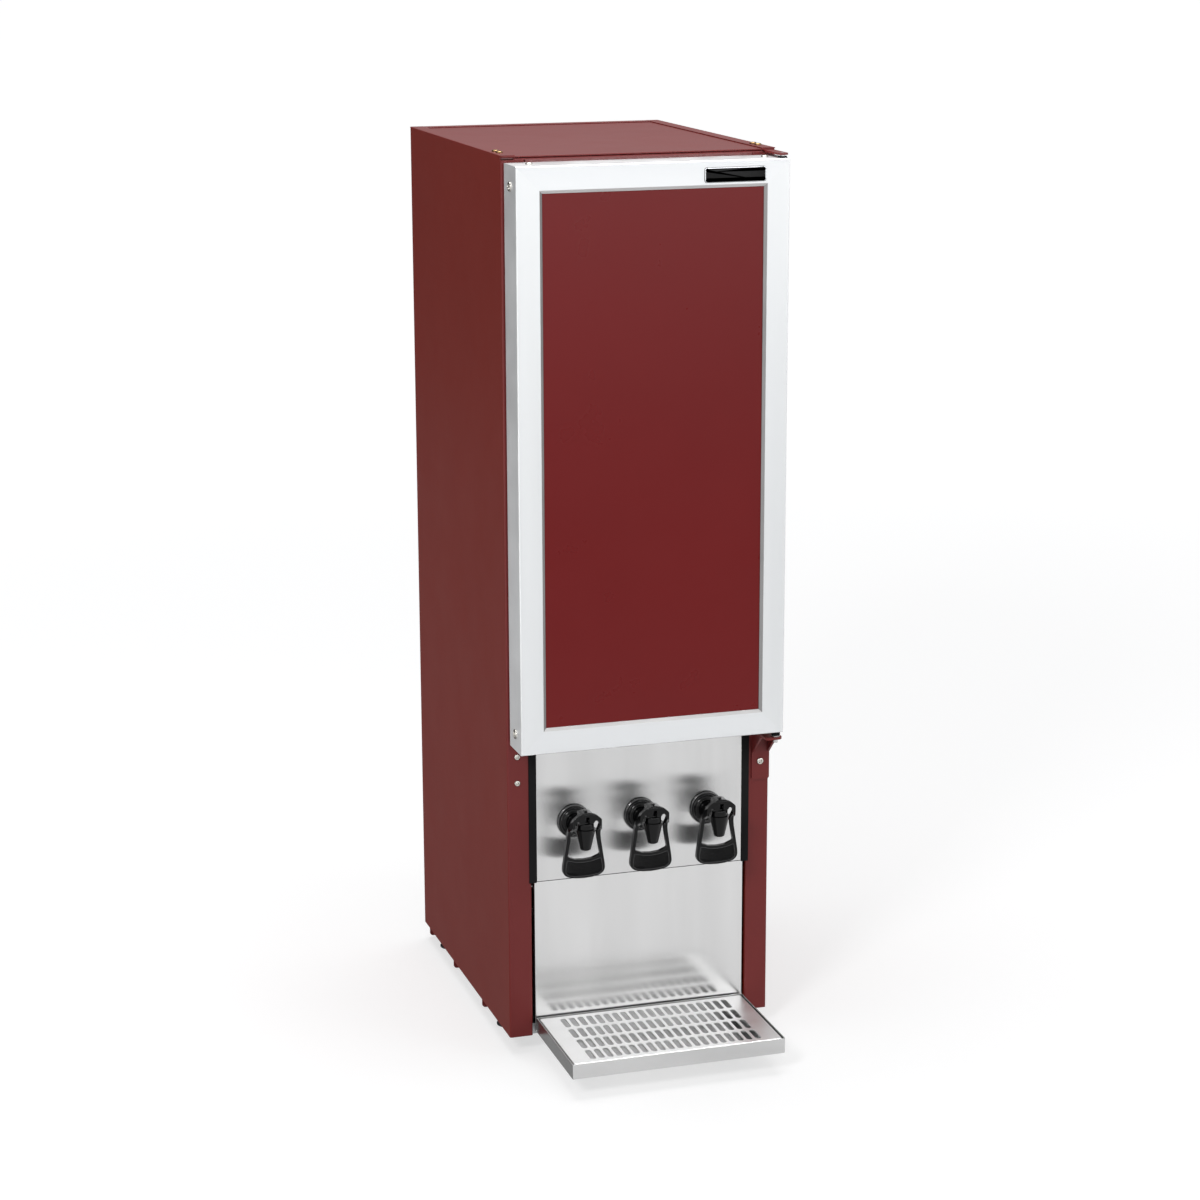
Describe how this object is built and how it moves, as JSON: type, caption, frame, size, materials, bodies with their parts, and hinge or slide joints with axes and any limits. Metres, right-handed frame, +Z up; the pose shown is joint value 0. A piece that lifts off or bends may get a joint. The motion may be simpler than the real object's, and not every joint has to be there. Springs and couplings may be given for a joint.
{
  "type": "wine preservation dispenser",
  "caption": "Tall cooled dispenser for boxed wine: insulated steel cabinet with a hinged door, push-lever taps in a steel panel, splash panel and lift-out drip tray.",
  "frame": {"origin": "middle of the footprint on the floor, under the cabinet and the drip tray", "axes": "+Z up, -Y out of the front (door, taps and tray), +X to the right seen from the front"},
  "size_m": [0.315, 0.557, 1.0375],
  "materials": {
    "red_steel": "satin",
    "galvanised": "satin",
    "door_red": "satin",
    "door_aluminium": "satin",
    "foam": "matte",
    "white_plastic": "satin",
    "strip_black": "satin",
    "stainless": "satin",
    "pin_steel": "polished",
    "white_wire": "satin",
    "cooling_aluminium": "matte",
    "compressor_black": "satin",
    "rubber": "matte",
    "copper": "satin",
    "foot_plastic": "matte",
    "tap_black": "gloss",
    "badge_black": "gloss"
  },
  "bodies": {
    "cabinet": {"side_panel_left": "red_steel", "side_panel_right": "red_steel", "top_panel": "red_steel", "rear_panel": "red_steel", "rear_grille": "red_steel", "front_header": "red_steel", "top_hinge_plate": "red_steel", "lower_hinge_bracket": "red_steel", "base_cross_ribs": "red_steel", "base_pan": "galvanised", "partition_plate": "galvanised", "foot_nuts": "galvanised", "tray_arms": "galvanised", "insulation": "foam", "inner_liner": "white_plastic", "shelf_runners": "white_plastic", "thermostat_housing": "white_plastic", "breaker_strips": "strip_black", "fan_shroud": "strip_black", "cable_gland": "strip_black", "tap_panel": "stainless", "splash_panel": "stainless", "hinge_pins": "pin_steel", "cabinet_screws": "pin_steel", "tap_back_nuts": "pin_steel", "wire_shelves": "white_wire", "evaporator_plate": "cooling_aluminium", "condenser": "cooling_aluminium", "compressor": "compressor_black", "compressor_grommets": "rubber", "tap_gaskets": "rubber", "filter_drier": "copper", "tap_body_left": "tap_black", "tap_body_middle": "tap_black", "tap_body_right": "tap_black", "tap_collars": "tap_black", "tap_bonnets": "tap_black"},
    "door": {"door_panel": "door_red", "door_stiles": "door_aluminium", "door_rails": "door_aluminium", "door_insulation": "foam", "door_inner_panel": "white_plastic", "door_bushes": "strip_black", "door_screws": "pin_steel", "door_gasket": "rubber", "badge_plate": "badge_black"},
    "lever_left": {"tap_lever_left": "tap_black"},
    "stem_left": {"tap_stem_left": "pin_steel"},
    "lever_middle": {"tap_lever_middle": "tap_black"},
    "stem_middle": {"tap_stem_middle": "pin_steel"},
    "lever_right": {"tap_lever_right": "tap_black"},
    "stem_right": {"tap_stem_right": "pin_steel"},
    "tray": {"drip_tray": "stainless"},
    "grille": {"drip_grille": "stainless"},
    "knob": {"thermostat_knob": "white_plastic"},
    "rotor": {"fan_rotor": "strip_black"},
    "foot_front_left": {"levelling_foot_front_left": "foot_plastic"},
    "foot_front_right": {"levelling_foot_front_right": "foot_plastic"},
    "foot_rear_left": {"levelling_foot_rear_left": "foot_plastic"},
    "foot_rear_right": {"levelling_foot_rear_right": "foot_plastic"}
  },
  "joints": [
    {"name": "door_hinge", "type": "hinge", "parent": "cabinet", "child": "door", "pos_m": [0.15, -0.1735, 0.702], "axis": [0, 0, 1], "range_deg": [0, 120]},
    {"name": "tap_left_stem_rise", "type": "slide", "parent": "cabinet", "child": "stem_left", "axis": [0, 0, 1], "range_m": [0, 0.00251]},
    {"name": "tap_left_lever_push", "type": "hinge", "parent": "cabinet", "child": "lever_left", "pos_m": [-0.08, -0.1855, 0.292], "axis": [1, 0, 0], "range_deg": [0, 20], "stiffness_Nm_per_rad": 0.6, "springref_deg": -17.19},
    {"name": "tap_middle_stem_rise", "type": "slide", "parent": "cabinet", "child": "stem_middle", "axis": [0, 0, 1], "range_m": [0, 0.00251]},
    {"name": "tap_middle_lever_push", "type": "hinge", "parent": "cabinet", "child": "lever_middle", "pos_m": [0, -0.1855, 0.292], "axis": [1, 0, 0], "range_deg": [0, 20], "stiffness_Nm_per_rad": 0.6, "springref_deg": -17.19},
    {"name": "tap_right_stem_rise", "type": "slide", "parent": "cabinet", "child": "stem_right", "axis": [0, 0, 1], "range_m": [0, 0.00251]},
    {"name": "tap_right_lever_push", "type": "hinge", "parent": "cabinet", "child": "lever_right", "pos_m": [0.08, -0.1855, 0.292], "axis": [1, 0, 0], "range_deg": [0, 20], "stiffness_Nm_per_rad": 0.6, "springref_deg": -17.19},
    {"name": "tray_slide", "type": "slide", "parent": "cabinet", "child": "tray", "axis": [0, -1, 0], "range_m": [0, 0.12]},
    {"name": "grille_lift", "type": "slide", "parent": "tray", "child": "grille", "axis": [0, 0, 1], "range_m": [0, 0.06]},
    {"name": "thermostat_turn", "type": "hinge", "parent": "cabinet", "child": "knob", "pos_m": [0.02, -0.0775, 0.979], "axis": [0, 1, 0], "range_deg": [0, 300]},
    {"name": "fan_spin", "type": "hinge", "parent": "cabinet", "child": "rotor", "pos_m": [0, -0.0605, 0.104], "axis": [0, 1, 0], "continuous": true},
    {"name": "foot_front_left_turn", "type": "hinge", "parent": "cabinet", "child": "foot_front_left", "pos_m": [-0.135, -0.0365, 0.022], "axis": [0, 0, 1], "continuous": true},
    {"name": "foot_front_right_turn", "type": "hinge", "parent": "cabinet", "child": "foot_front_right", "pos_m": [0.135, -0.0365, 0.022], "axis": [0, 0, 1], "continuous": true},
    {"name": "foot_rear_left_turn", "type": "hinge", "parent": "cabinet", "child": "foot_rear_left", "pos_m": [-0.135, 0.2365, 0.022], "axis": [0, 0, 1], "continuous": true},
    {"name": "foot_rear_right_turn", "type": "hinge", "parent": "cabinet", "child": "foot_rear_right", "pos_m": [0.135, 0.2365, 0.022], "axis": [0, 0, 1], "continuous": true}
  ],
  "couplings": [
    {"joint": "tap_left_lever_push", "follows": "tap_left_stem_rise", "rad_per_m": 138.8},
    {"joint": "tap_middle_lever_push", "follows": "tap_middle_stem_rise", "rad_per_m": 138.8},
    {"joint": "tap_right_lever_push", "follows": "tap_right_stem_rise", "rad_per_m": 138.8}
  ]
}
